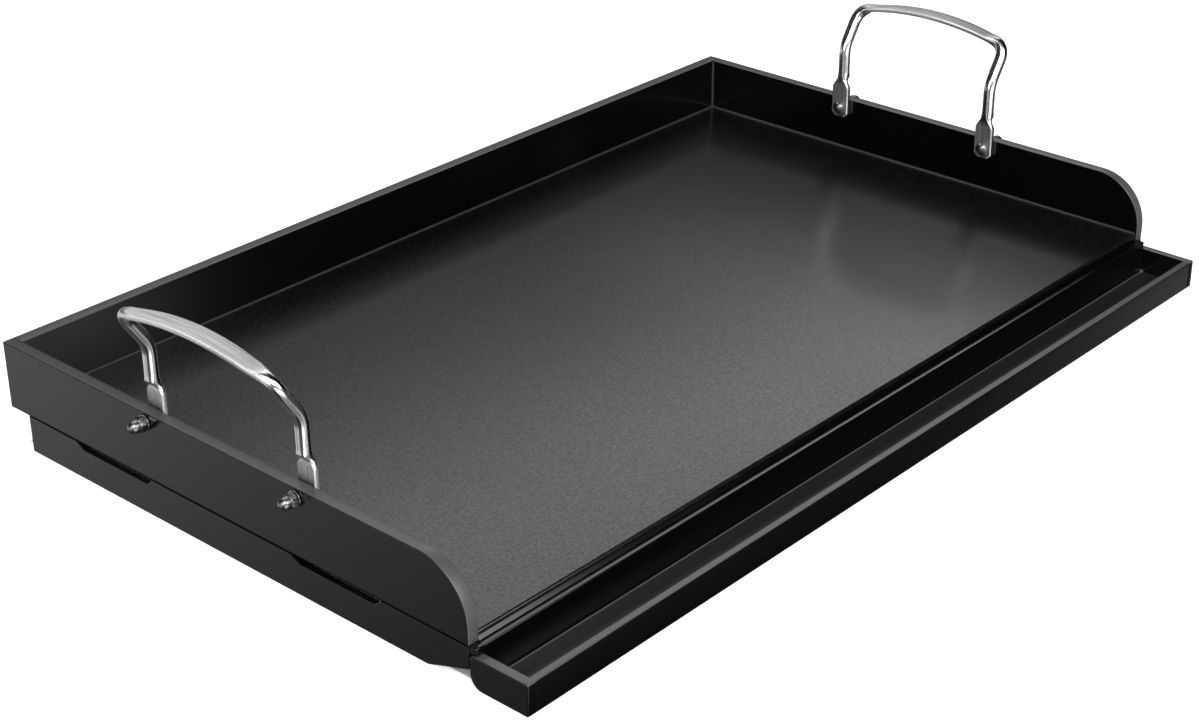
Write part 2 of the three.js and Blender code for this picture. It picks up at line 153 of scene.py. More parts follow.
def makeHandleSteel():
    # Stainless rod: the round legs are buffed near mirror, the flattened grip and paddles are belt
    # ground along the bar and read as soft light grey. Hairlines are drawn at 0.6 mm, coarser than
    # real ones, so that they show.
    hairline = {"pitch": 0.6 * mm, "run": 45 * mm, "depth": 0.004 * mm, "dark": "#c4c5c6",
                "light": "#ffffff", "range": (0.36, 0.62), "buffed": 0.09, "ground": 0.40,
                "spread": 0.12, "drawOut": 0.95, "quarterTurn": 0.25}
    material, tree, shader = startFinish("polishedStainless")
    lengthwise = addNode(tree, "ShaderNodeUVMap", {"uv_map": "alongBar"}).outputs["UV"]
    stretch = addNode(tree, "ShaderNodeMapping", None,
                      {"Vector": lengthwise, "Scale": (1 / hairline["pitch"], 1 / hairline["run"], 1.0)})
    lines = addNode(tree, "ShaderNodeTexNoise", None,
                    {"Vector": stretch.outputs["Vector"], "Scale": 1.0, "Detail": 3.0, "Roughness": 0.6})
    ground = addNode(tree, "ShaderNodeAttribute", {"attribute_name": "brushed"}).outputs["Fac"]
    strong = addNode(tree, "ShaderNodeMapRange", None,
                     {"Value": lines.outputs["Fac"], "From Min": hairline["range"][0],
                      "From Max": hairline["range"][1]})
    tint = addNode(tree, "ShaderNodeMix", {"data_type": "RGBA"},
                   {"Factor": strong.outputs["Result"], 6: toLinear(hairline["dark"]),
                    7: toLinear(hairline["light"])})
    level = addNode(tree, "ShaderNodeMapRange", None,
                    {"Value": ground, "To Min": hairline["buffed"], "To Max": hairline["ground"]})
    streak = addNode(tree, "ShaderNodeMath", {"operation": "MULTIPLY_ADD"},
                     {0: lines.outputs["Fac"], 1: hairline["spread"], 2: level.outputs["Result"]})
    relief = addNode(tree, "ShaderNodeBump", None,
                     {"Height": lines.outputs["Fac"], "Strength": ground, "Distance": hairline["depth"]})
    tree.links.new(tint.outputs[2], shader.inputs["Base Color"])
    tree.links.new(streak.outputs[0], shader.inputs["Roughness"])
    tree.links.new(relief.outputs["Normal"], shader.inputs["Normal"])
    around = addNode(tree, "ShaderNodeTangent", {"direction_type": "UV_MAP", "uv_map": "alongBar"})
    tree.links.new(around.outputs["Tangent"], shader.inputs["Tangent"])
    # polishing marks run round the bar and draw each highlight out along it
    shader.inputs["Anisotropic"].default_value = hairline["drawOut"]
    shader.inputs["Anisotropic Rotation"].default_value = hairline["quarterTurn"]
    shader.inputs["Metallic"].default_value = 1.0
    return material


def makeBrightSteel():
    # Turned and barrel-polished steel fasteners: darker than the handles, softly bright, with a trace
    # of turning marks, drawn at 0.5 mm to show, that spreads each highlight over the dome.
    turned = {"mark": 0.5 * mm, "depth": 0.001 * mm, "relief": 0.6, "dark": "#77787a",
              "light": "#98999b", "smooth": 0.26, "rough": 0.32}
    material, tree, shader = startFinish("barrelPolishedSteel")
    place = addNode(tree, "ShaderNodeTexCoord").outputs["Object"]
    marks = addNode(tree, "ShaderNodeTexNoise", None,
                    {"Vector": place, "Scale": 1 / turned["mark"], "Detail": 2.0})
    tint = addNode(tree, "ShaderNodeMix", {"data_type": "RGBA"},
                   {"Factor": marks.outputs["Fac"], 6: toLinear(turned["dark"]),
                    7: toLinear(turned["light"])})
    sheen = addNode(tree, "ShaderNodeMapRange", None,
                    {"Value": marks.outputs["Fac"], "From Min": cloudRange[0],
                     "From Max": cloudRange[1], "To Min": turned["smooth"],
                     "To Max": turned["rough"]})
    relief = addNode(tree, "ShaderNodeBump", None,
                     {"Height": marks.outputs["Fac"], "Strength": turned["relief"],
                      "Distance": turned["depth"]})
    tree.links.new(tint.outputs[2], shader.inputs["Base Color"])
    tree.links.new(sheen.outputs["Result"], shader.inputs["Roughness"])
    tree.links.new(relief.outputs["Normal"], shader.inputs["Normal"])
    shader.inputs["Metallic"].default_value = 1.0
    return material


coats = {  # darkest and lightest colour, lowest and highest roughness
    "satin": ("#030303", "#070707", 0.17, 0.21),
    # the liner's coat is the black coat painted lighter grey, standing in for light on the trough floor
    "matt": ("#1e1e1e", "#2a2a2a", 0.34, 0.40)}
finishes = {"nonstick_coating": makeNonstick(),
            "black_powder_coat": makePowderCoat("satinPowderCoat", *coats["satin"]),
            "liner_painted_lighter": makePowderCoat("linerPaintedLighterCoat", *coats["matt"]),
            "stainless_rod": makeHandleSteel(), "polished_steel": makeBrightSteel()}
print("finishes:", len(finishes))


arcSteps = (3, 28)  # fewest and most steps in a rounded corner
roundSteps = 4  # steps in the rounding of a sheet's edge


def softOutline(corners):
    # (u, v, radius) corners, anticlockwise, with each corner turned into an arc of its radius
    points = []
    count = len(corners)
    for i, (u, v, radius) in enumerate(corners):
        here = Vector((u, v))
        if radius == 0:
            points.append(here)
            continue
        toLast = (Vector(corners[i - 1][:2]) - here).normalized()
        toNext = (Vector(corners[(i + 1) % count][:2]) - here).normalized()
        half = toLast.angle(toNext) / 2
        centre = here + (toLast + toNext).normalized() * (radius / sin(half))
        start = here + toLast * (radius / tan(half)) - centre
        end = here + toNext * (radius / tan(half)) - centre
        first = atan2(start.y, start.x)
        sweep = (atan2(end.y, end.x) - first + pi) % (2 * pi) - pi
        steps = max(arcSteps[0], min(arcSteps[1], ceil(abs(sweep) * (radius / mm + 2))))
        for step in range(steps + 1):
            angle = first + sweep * step / steps
            points.append(centre + Vector((cos(angle), sin(angle))) * radius)
    return points


def insetLoop(points, amount):
    # moves each side of a loop to its left by amount: inwards on an anticlockwise loop
    moved = []
    for i, here in enumerate(points):
        before = (here - points[i - 1]).normalized()
        after = (points[(i + 1) % len(points)] - here).normalized()
        left = Vector((-before.y, before.x)) + Vector((-after.y, after.x))
        moved.append(here + left * (amount / (1 + before.dot(after))))
    return moved


def roundHole(u, v, radius, steps=32):
    turns = [-2 * pi * i / steps for i in range(steps)]  # clockwise, as every hole is drawn
    return [Vector((u + radius * cos(turn), v + radius * sin(turn))) for turn in turns]


def addSheet(mesh, loops, low, high, edges, place):
    # a plate with this outline and these holes; edges are the rounding radii at low and at high
    def roundOver(edge, level, sign):
        angles = [pi / 2 * i / roundSteps for i in range(roundSteps + 1)]
        hold = edge * 1.6  # one more loop just inside the rounding keeps the flat shaded flat
        return [(hold, level)] + [(edge * (1 - sin(t)), level + sign * edge * (1 - cos(t)))
                                  for t in angles]

    stations = roundOver(edges[0], low, 1) + roundOver(edges[1], high, -1)[::-1]
    holds = (stations[0][0], stations[-1][0])
    caps = [[], []]
    for loop in loops:
        rings = [[mesh.verts.new(place(p.x, p.y, depth)) for p in insetLoop(loop, inset)]
                 for inset, depth in stations]
        for lower, upper in zip(rings, rings[1:]):
            for i in range(len(loop)):
                mesh.faces.new((lower[i - 1], lower[i], upper[i], upper[i - 1]))
        caps[0].append((insetLoop(loop, holds[0]), rings[0]))
        caps[1].append((insetLoop(loop, holds[1]), rings[-1]))
    for cap in caps:
        verts = [v for _, ring in cap for v in ring]
        for triangle in tessellate_polygon([[p.to_3d() for p in flat] for flat, _ in cap]):
            mesh.faces.new([verts[i] for i in triangle])


def alongX(u, v, depth):
    return (depth, u, v)


def alongY(u, v, depth):
    return (u, depth, v)


def markRimHighlight(mesh, across, above=-1.0, below=1.0, sideways=0.6):
    # faces that get the painted rim highlight: between two heights and not facing along the across axis
    bmesh.ops.recalc_face_normals(mesh, faces=mesh.faces)
    mark = mesh.faces.layers.float.new("rimHighlight")
    for face in mesh.faces:
        between = above < face.calc_center_median().z < below
        face[mark] = float(abs(face.normal[across]) < sideways and between)


def finishMesh(mesh, name, material, creaseAngle=38):
    bmesh.ops.recalc_face_normals(mesh, faces=mesh.faces)
    data = bpy.data.meshes.new(name)
    mesh.to_mesh(data)
    mesh.free()
    data.polygons.foreach_set("use_smooth", [True] * len(data.polygons))
    data.set_sharp_from_angle(angle=radians(creaseAngle))
    if material:
        data.materials.append(material)
    piece = bpy.data.objects.new(name, data)
    bpy.context.scene.collection.objects.link(piece)
    return piece


def settle(piece, slotName, *nodes):
    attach(piece, "root")
    if nodes:
        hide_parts(*nodes)


jointGap = 0.3 * mm  # what is left open between two faces that meet
closeGap = 0.28 * mm  # how far a sheet runs on into that gap, so that no light shows through
hairEdge = 0.06 * mm  # rounding of an end that butts against another sheet
rimDepth = 1 * mm  # how far below a rim the painted highlight reaches
endWall = {"edge": 0.7 * mm, "frontRadius": 32.5 * mm, "boreRadius": 2.7 * mm}


def addEndWall(side):
    low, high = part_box(f"{side}_end_wall")
    edge = endWall["edge"]
    outer = softOutline([(low.y, low.z, edge), (high.y, low.z, edge), (high.y, high.z, edge),
                         (low.y, high.z, endWall["frontRadius"])])
    bores = []
    for end in ("rear", "front"):
        a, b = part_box(f"acorn_nut_{side}_{end}")
        bores.append(roundHole((a.y + b.y) / 2, (a.z + b.z) / 2, endWall["boreRadius"]))
    mesh = bmesh.new()
    addSheet(mesh, [outer] + bores, low.x, high.x, (edge, edge), alongX)
    # the wall's edge faces get the painted rim highlight
    markRimHighlight(mesh, 0)
    wall = finishMesh(mesh, f"end_wall_{side}", finishes["black_powder_coat"])
    settle(wall, "black_powder_coat", f"{side}_end_wall")


rearWall = {"edge": 0.7 * mm}


def addRearWall():
    low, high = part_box("rear_wall")
    edge = rearWall["edge"]
    outer = softOutline([(low.y, low.z, edge), (high.y, low.z, edge), (high.y, high.z, edge),
                         (low.y, high.z, edge)])
    mesh = bmesh.new()
    addSheet(mesh, [outer], low.x - closeGap, high.x + closeGap, (hairEdge, hairEdge), alongX)
    # the rear wall's top rim gets the painted highlight
    markRimHighlight(mesh, 1, high.z - rimDepth)
    wall = finishMesh(mesh, "wall_rear", finishes["black_powder_coat"])
    settle(wall, "black_powder_coat", "rear_wall")


cookingFace = {"noseRadius": 1.6 * mm}


def addCookingFace():
    low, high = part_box("cooking_plate")
    nose = cookingFace["noseRadius"]
    outer = softOutline([(low.y, low.z, nose), (high.y + closeGap, low.z, 0),
                         (high.y + closeGap, high.z, 0), (low.y, high.z, nose)])
    mesh = bmesh.new()
    addSheet(mesh, [outer], low.x - closeGap, high.x + closeGap, (hairEdge, hairEdge), alongX)
    face = finishMesh(mesh, "cooking_face", finishes["nonstick_coating"])
    settle(face, "nonstick_coating", "cooking_plate")


def joinRings(mesh, rings):
    for lower, upper in zip(rings, rings[1:]):
        for i in range(len(lower)):
            mesh.faces.new((lower[i - 1], lower[i], upper[i], upper[i - 1]))
    mesh.faces.new(rings[0])
    mesh.faces.new(rings[-1])


cornerSeam = {"radius": 1.05 * mm, "steps": 6, "bury": 0.15 * mm, "fromFront": 0.8 * mm,
              "belowRim": 1.0 * mm, "seamHighlight": 0.5}


def addCornerSeam():
    # the filled and coated corner between floor and walls, and up the two rear corners, with a painted
    # light line along it
    floorLow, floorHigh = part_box("cooking_plate")
    wallLow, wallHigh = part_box("rear_wall")
    radius, steps, bury = cornerSeam["radius"], cornerSeam["steps"], cornerSeam["bury"]
    left, right = floorLow.x - jointGap, floorHigh.x + jointGap
    rear, front = wallLow.y, floorLow.y + cornerSeam["fromFront"]
    arc = [(radius * (1 - sin(t)), radius * (1 - cos(t))) for t in
           (pi / 2 * i / steps for i in range(steps + 1))]
    hollow = [(-bury, -bury), (-bury, radius)] + arc[::-1] + [(radius, -bury)]
    mesh = bmesh.new()
    corners = [(left, 1, front, 0), (left, 1, rear, -1), (right, -1, rear, -1), (right, -1, front, 0)]
    joinRings(mesh, [[mesh.verts.new((x + alongIn * a, y + backIn * a, floorHigh.z + b))
                      for a, b in hollow] for x, alongIn, y, backIn in corners])
    heights = (floorHigh.z - jointGap, wallHigh.z - cornerSeam["belowRim"])
    for x, sign in ((left, 1), (right, -1)):
        joinRings(mesh, [[mesh.verts.new((x + sign * a, rear - b, z)) for a, b in hollow]
                         for z in heights])
    thin = mesh.faces.layers.float.new("rimHighlight")  # painted highlight along the whole seam, at half strength
    for face in mesh.faces:
        face[thin] = cornerSeam["seamHighlight"]
    seam = finishMesh(mesh, "pan_corner_seam", finishes["black_powder_coat"])
    settle(seam, "black_powder_coat")


noseWeld = {"edge": 0.3 * mm, "depth": 6 * mm, "underPlate": 4 * mm, "lap": 0.2 * mm,
            "noseClear": 1.2 * mm, "topDrop": 1.0 * mm, "past": 0.25 * mm}


def addNoseWeld():
    # the weld that closes the joint between the plate's front edge and the trough, down in the groove
    plateLow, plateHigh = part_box("cooking_plate")
    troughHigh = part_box("trough_channel")[1]
    edge, lap = noseWeld["edge"], noseWeld["lap"]
    foot, back = troughHigh.z - noseWeld["depth"], plateLow.y + noseWeld["underPlate"]
    face = softOutline([(troughHigh.y - lap, foot, edge), (back, foot, edge),
                        (back, plateLow.z + lap, edge),
                        (plateLow.y + noseWeld["noseClear"], plateLow.z + lap, edge),
                        (troughHigh.y - lap, troughHigh.z - noseWeld["topDrop"], edge)])
    mesh = bmesh.new()
    addSheet(mesh, [face], plateLow.x - noseWeld["past"], plateHigh.x + noseWeld["past"],
             (edge, edge), alongX)
    strip = finishMesh(mesh, "nose_weld", finishes["black_powder_coat"])
    settle(strip, "black_powder_coat")


for side in sides:
    addEndWall(side)
addRearWall()
addCookingFace()
addCornerSeam()
addNoseWeld()
print("pan: walls, cooking face, corner seam and front weld")


trough = {"sheet": 4.8 * mm, "floor": 2.5 * mm, "frontBend": 1.2 * mm, "rearBend": 8 * mm,
          "insideBend": 1.2 * mm, "edge": 0.7 * mm, "lipRoot": 1.0 * mm, "markPast": 0.1 * mm,
          "lipReach": {"left": 317.3 * mm, "right": 310.4 * mm}}


def addTrough():
    low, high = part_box("trough_channel")
    capLow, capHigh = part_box("trough_right_cap")
    edge, sheet, bend = trough["edge"], trough["sheet"], trough["insideBend"]
    innerRear, innerFront = high.y - sheet, low.y + sheet
    section = softOutline([
        (low.y, low.z, trough["frontBend"]), (high.y, low.z, trough["rearBend"]),
        (high.y, high.z, edge), (innerRear, high.z, edge),
        (innerRear, trough["floor"], bend), (innerFront, trough["floor"], bend),
        (innerFront, capHigh.z, edge), (low.y, capHigh.z, edge)])
    mesh = bmesh.new()
    end = capLow.x - jointGap + closeGap
    addSheet(mesh, [section], -end, end, (hairEdge, hairEdge), alongX)
    lipFoot = capHigh.z + jointGap
    lip = softOutline([(innerRear, lipFoot, edge), (high.y, lipFoot, edge),
                       (high.y, high.z, edge), (innerRear, high.z, edge)])
    for side, sign in sides.items():  # the rear lip runs on over both caps
        ends = sorted((sign * (end - trough["lipRoot"]), sign * trough["lipReach"][side]))
        addSheet(mesh, [lip], ends[0], ends[1], (edge, edge), alongX)
    # the trough's rims get the painted highlight
    markRimHighlight(mesh, 1, capHigh.z - rimDepth, capHigh.z + trough["markPast"])
    channel = finishMesh(mesh, "grease_trough", finishes["black_powder_coat"])
    settle(channel, "black_powder_coat", "trough_channel")


troughCap = {"heel": 3 * mm, "edge": 0.7 * mm}


def addTroughCap(side):
    low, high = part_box(f"trough_{side}_cap")
    edge = troughCap["edge"]
    face = softOutline([(low.y, low.z, trough["frontBend"]), (high.y, low.z, trough["rearBend"]),
                        (high.y, high.z, troughCap["heel"]), (low.y, high.z, edge)])
    mesh = bmesh.new()
    edges = (edge, hairEdge) if side == "left" else (hairEdge, edge)
    addSheet(mesh, [face], low.x, high.x, edges, alongX)
    # the cap's top rim gets the painted highlight
    markRimHighlight(mesh, 0, high.z - rimDepth)
    cap = finishMesh(mesh, f"trough_cap_{side}", finishes["black_powder_coat"])
    settle(cap, "black_powder_coat", f"trough_{side}_cap")


liner = {"thickness": 0.8 * mm, "seam": 0.35 * mm, "sink": 0.1 * mm, "topEdge": 0.25 * mm,
         "endEdge": 0.2 * mm}
bead = {"radius": 0.55 * mm, "fromRear": 0.9 * mm, "sink": 0.1 * mm, "segments": 16,
        "tackRadius": 1.9 * mm, "tackInset": 0.8 * mm, "tackFromRear": 0.4 * mm, "tackSquash": 0.8}


def addLiner():
    # a flat liner sheet on the trough floor, with a fine seam against the upright sides; its black coat is
    # painted lighter grey, for light falling on the trough floor
    low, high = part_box("trough_channel")
    seam = liner["seam"]
    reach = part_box("trough_right_cap")[0].x - jointGap - seam
    base = trough["floor"] - liner["sink"]
    front, rear = low.y + trough["sheet"] + seam, high.y - trough["sheet"] - seam
    top = base + liner["thickness"]
    face = softOutline([(front, base, 0), (rear, base, 0), (rear, top, liner["topEdge"]),
                        (front, top, liner["topEdge"])])
    mesh = bmesh.new()
    addSheet(mesh, [face], -reach, reach, (liner["endEdge"], liner["endEdge"]), alongX)
    sheet = finishMesh(mesh, "trough_liner", finishes["liner_painted_lighter"])
    settle(sheet, "black_powder_coat")

    # the half-round bead that seals the liner's rear edge, with a tack at its right end; both carry the
    # painted rim highlight
    radius, middle, count = bead["radius"], rear - bead["fromRear"], bead["segments"]
    mesh = bmesh.new()
    rings = [[mesh.verts.new((x, middle + radius * cos(t), top - bead["sink"] + radius * sin(t)))
              for t in (2 * pi * i / count for i in range(count))] for x in (-reach, reach)]
    joinRings(mesh, rings)
    tack = bmesh.ops.create_uvsphere(mesh, u_segments=20, v_segments=12, radius=bead["tackRadius"])
    for corner in tack["verts"]:
        corner.co = (reach - bead["tackInset"] + corner.co.x, rear - bead["tackFromRear"] + corner.co.y,
                     top + corner.co.z * bead["tackSquash"])
    # painted highlight over the bead and the tack
    markRimHighlight(mesh, 0)
    line = finishMesh(mesh, "trough_bead", finishes["black_powder_coat"])
    settle(line, "black_powder_coat")


addTrough()
addLiner()
for side in sides:
    addTroughCap(side)
print("trough: channel, liner, bead and caps")


skirts = {"edge": 0.5 * mm, "ventLength": 67.3 * mm, "ventHeight": 3.6 * mm, "ventPitch": 180 * mm,
          "ventCount": 2, "rearSlant": 6.8 * mm, "frontSlant": 4.4 * mm, "toeLength": 29 * mm,
          "toeRise": 10 * mm, "corner": 0.8 * mm}


def addSideSkirt(side):
    low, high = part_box(f"{side}_skirt")
    wallLow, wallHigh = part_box(f"{side}_end_wall")
    soft = skirts["corner"]
    ventFloor = high.z - skirts["ventHeight"]
    corners = [(low.y, low.z + skirts["toeRise"], soft), (low.y + skirts["toeLength"], low.z, soft),
               (high.y, low.z, soft), (high.y, high.z, 0)]
    spread = skirts["ventPitch"] * (skirts["ventCount"] - 1) + skirts["ventLength"]
    firstVent = (wallLow.y + wallHigh.y + spread) / 2
    for vent in range(skirts["ventCount"]):
        start = firstVent - vent * skirts["ventPitch"]
        end = start - skirts["ventLength"]
        corners += [(start, high.z, 0), (start - skirts["rearSlant"], ventFloor, soft),
                    (end + skirts["frontSlant"], ventFloor, soft), (end, high.z, 0)]
    corners.append((low.y, high.z, 0))
    mesh = bmesh.new()
    addSheet(mesh, [softOutline(corners)], low.x, high.x, (skirts["edge"], skirts["edge"]), alongX)
    skirt = finishMesh(mesh, f"skirt_{side}", finishes["black_powder_coat"])
    settle(skirt, "black_powder_coat", f"{side}_skirt")


def addRearSkirt():
    low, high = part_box("rear_skirt")
    soft = skirts["corner"]
    face = softOutline([(low.x, low.z, soft), (high.x, low.z, soft), (high.x, high.z, 0),
                        (low.x, high.z, 0)])
    mesh = bmesh.new()
    addSheet(mesh, [face], low.y, high.y, (skirts["edge"], skirts["edge"]), alongY)
    skirt = finishMesh(mesh, "skirt_rear", finishes["black_powder_coat"])
    settle(skirt, "black_powder_coat", "rear_skirt")


for side in sides:
    addSideSkirt(side)
addRearSkirt()
print("skirts: two sides with vents, one rear")


def startTree(name, inputs):
    tree = bpy.data.node_groups.new(name, "GeometryNodeTree")
    tree.interface.new_socket("Geometry", in_out="INPUT", socket_type="NodeSocketGeometry")
    tree.interface.new_socket("Geometry", in_out="OUTPUT", socket_type="NodeSocketGeometry")
    for label, kind in inputs.items():
        tree.interface.new_socket(label, in_out="INPUT", socket_type=kind)
    return tree, addNode(tree, "NodeGroupInput").outputs


def endTree(tree, instances, material):
    real = addNode(tree, "GeometryNodeRealizeInstances", None, {"Geometry": instances})
    painted = addNode(tree, "GeometryNodeSetMaterial", None,
                      {"Geometry": real.outputs["Geometry"], "Material": material})
    addNode(tree, "NodeGroupOutput", None, {"Geometry": painted.outputs["Geometry"]})


def growPiece(name, seedMesh, tree, values):
    # runs the tree on seedMesh with its named inputs set, and returns the result as a plain mesh object
    source = bpy.data.objects.new(name + "_source", seedMesh)
    bpy.context.scene.collection.objects.link(source)
    modifier = source.modifiers.new("grow", "NODES")
    modifier.node_group = tree
    identifiers = {item.name: item.identifier for item in tree.interface.items_tree
                   if item.item_type == "SOCKET" and item.in_out == "INPUT"}
    for label, value in values.items():
        modifier[identifiers[label]] = value
    evaluated = source.evaluated_get(bpy.context.evaluated_depsgraph_get())
    data = bpy.data.meshes.new_from_object(evaluated)
    data.name = name
    source.modifiers.remove(modifier)
    bpy.data.objects.remove(source)
    piece = bpy.data.objects.new(name, data)
    bpy.context.scene.collection.objects.link(piece)
    return piece


def makeRowTree():
    # copies of a pattern piece in a straight row
    tree, given = startTree("ribRow", {"Pattern": "NodeSocketObject", "Count": "NodeSocketInt",
                                       "First": "NodeSocketVector", "Step": "NodeSocketVector",
                                       "Finish": "NodeSocketMaterial"})
    row = addNode(tree, "GeometryNodeMeshLine", {"mode": "OFFSET"},
                  {"Count": given["Count"], "Start Location": given["First"], "Offset": given["Step"]})
    pattern = addNode(tree, "GeometryNodeObjectInfo", None, {"Object": given["Pattern"]})
    copies = addNode(tree, "GeometryNodeInstanceOnPoints", None,
                     {"Points": row.outputs["Mesh"], "Instance": pattern.outputs["Geometry"]})
    endTree(tree, copies.outputs["Instances"], given["Finish"])
    return tree


def makeBoltTree():
    # a pattern piece at each bolt place, its axis outwards, turned by a random angle as tightened by hand
    tree, given = startTree("boltPlaces", {"Pattern": "NodeSocketObject", "Most turn": "NodeSocketFloat",
                                           "Seed": "NodeSocketInt", "Finish": "NodeSocketMaterial"})
    pattern = addNode(tree, "GeometryNodeObjectInfo", None, {"Object": given["Pattern"]})
    position = addNode(tree, "GeometryNodeInputPosition")
    apart = addNode(tree, "ShaderNodeSeparateXYZ", None, {"Vector": position.outputs["Position"]})
    onLeft = addNode(tree, "ShaderNodeMath", {"operation": "LESS_THAN"}, {0: apart.outputs["X"], 1: 0.0})
    facing = addNode(tree, "ShaderNodeMath", {"operation": "MULTIPLY"}, {0: onLeft.outputs[0], 1: pi})
    spin = addNode(tree, "FunctionNodeRandomValue", {"data_type": "FLOAT"},
                   {2: 0.0, 3: given["Most turn"], "Seed": given["Seed"]})
    turn = addNode(tree, "ShaderNodeCombineXYZ", None, {"X": spin.outputs[1], "Z": facing.outputs[0]})
    turned = addNode(tree, "GeometryNodeInstanceOnPoints", None,
                     {"Points": given["Geometry"], "Instance": pattern.outputs["Geometry"],
                      "Rotation": turn.outputs["Vector"]})
    endTree(tree, turned.outputs["Instances"], given["Finish"])
    return tree


ribs = {"thickness": 3 * mm, "footClearance": 4 * mm, "scallopLength": 50 * mm, "scallopHeight": 7 * mm,
        "scallopSlant": 7 * mm, "slotGap": 0.3 * mm, "edge": 0.4 * mm, "corner": 1.2 * mm,
        "endCorner": 0.5 * mm, "crossBays": 3, "longBays": 4}
rowTree = makeRowTree()


def ribOutline(start, end, bays, slots, top, shoulder, slotsFromTop):
    # lower edge with one scallop a bay, notches where the other ribs cross, upper edge under the plate
    foot = ribs["footClearance"]
    half = ribs["thickness"] / 2 + ribs["slotGap"]
    middle = (top + foot) / 2
    lower, upper = [(start, foot, ribs["endCorner"])], []
    bay = (end - start) / bays
    for i in range(bays):
        a = start + (i + 0.5) * bay - ribs["scallopLength"] / 2
        b = a + ribs["scallopLength"]
        rise = foot + ribs["scallopHeight"]
        lower += [(a, foot, ribs["corner"]), (a + ribs["scallopSlant"], rise, ribs["corner"]),
                  (b - ribs["scallopSlant"], rise, ribs["corner"]), (b, foot, ribs["corner"])]
        if i < len(slots):
            a, b = slots[i] - half, slots[i] + half
            if slotsFromTop:
                upper += [(a, top, 0), (a, middle, 0), (b, middle, 0), (b, top, 0)]
            else:
                lower += [(a, foot, 0), (a, middle, 0), (b, middle, 0), (b, foot, 0)]
    lower.append((end, foot, ribs["endCorner"]))
    if shoulder:
        reach, drop = shoulder
        upper = [(start, drop, 0), (-reach, drop, 0), (-reach, top, 0)] + upper + [
            (reach, top, 0), (reach, drop, 0), (end, drop, 0)]
    else:
        upper = [(start, top, 0)] + upper + [(end, top, 0)]
    return softOutline(lower + upper[::-1])


def addRibs():
    crossLow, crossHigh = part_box("cross_rib_1")
    longLow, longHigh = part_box("long_rib_1")
    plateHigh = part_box("cooking_plate")[1]
    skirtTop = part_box("rear_skirt")[1].z
    half = ribs["thickness"] / 2
    crossX = [sum(corner.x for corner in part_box(f"cross_rib_{i}")) / 2 for i in (1, 2, 3)]
    longY = sorted(sum(corner.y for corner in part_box(f"long_rib_{i}")) / 2 for i in (1, 2))
    empty = bpy.data.meshes.new("rowSeed")

    mesh = bmesh.new()
    outline = ribOutline(crossLow.y, crossHigh.y, ribs["crossBays"], longY, crossHigh.z, None, True)
    addSheet(mesh, [outline], -half, half, (ribs["edge"], ribs["edge"]), alongX)
    pattern = finishMesh(mesh, "crossPattern", None)
    cross = growPiece("ribs_cross", empty, rowTree, {
        "Pattern": pattern, "Count": len(crossX), "First": (crossX[0], 0, 0),
        "Step": (crossX[1] - crossX[0], 0, 0), "Finish": finishes["black_powder_coat"]})
    bpy.data.objects.remove(pattern)
    settle(cross, "black_powder_coat", "cross_rib_1", "cross_rib_2", "cross_rib_3")

    mesh = bmesh.new()
    outline = ribOutline(longLow.x, longHigh.x, ribs["longBays"], crossX, longHigh.z,
                         (plateHigh.x, skirtTop), False)
    addSheet(mesh, [outline], -half, half, (ribs["edge"], ribs["edge"]), alongY)
    pattern = finishMesh(mesh, "longPattern", None)
    lengthwise = growPiece("ribs_long", empty, rowTree, {
        "Pattern": pattern, "Count": len(longY), "First": (0, longY[0], 0),
        "Step": (0, longY[1] - longY[0], 0), "Finish": finishes["black_powder_coat"]})
    bpy.data.objects.remove(pattern)
    settle(lengthwise, "black_powder_coat", "long_rib_1", "long_rib_2")


addRibs()
print("ribs: three across, two along")


handle = {"rod": 4 * mm, "paddleWidth": 13.5 * mm, "paddleThickness": 3.7 * mm, "paddleRound": 0.9 * mm,
          "cornerCut": 3 * mm, "endRound": 0.6 * mm, "shoulder": 9.5 * mm, "shoulderRise": 5.5 * mm,
          "stepFrom": 3.5 * mm, "stepTo": 7.5 * mm, "flatFrom": 1 * mm, "flatEnd": 10.5 * mm,
          "kneeHeight": 38.5 * mm, "kneeReach": 6 * mm, "gripHeight": 62.2 * mm, "gripRise": 8.8 * mm,
          "cornerReach": 10 * mm, "gripEndWidth": 9.5 * mm, "gripWidth": 12.4 * mm,
          "gripThickness": 3.3 * mm, "gripRound": 1.2 * mm, "gripOffset": 8.2 * mm,
          "legEndShare": 0.15, "gripFrom": 3 * mm, "gripFull": 16 * mm,
          "around": 64, "step": 1.2 * mm, "kneeSteps": 8, "cornerSteps": 14, "gripSteps": 24,
          "creaseAngle": 50}


def ramp(value, start, end):
    return min(1.0, max(0.0, (value - start) / (end - start)))


def ease(value, start, end):
    t = ramp(value, start, end)
    return t * t * (3 - 2 * t)


def bendPoints(a, b, c, steps):
    return [a.lerp(b, t).lerp(b.lerp(c, t), t) for t in (i / steps for i in range(steps + 1))]


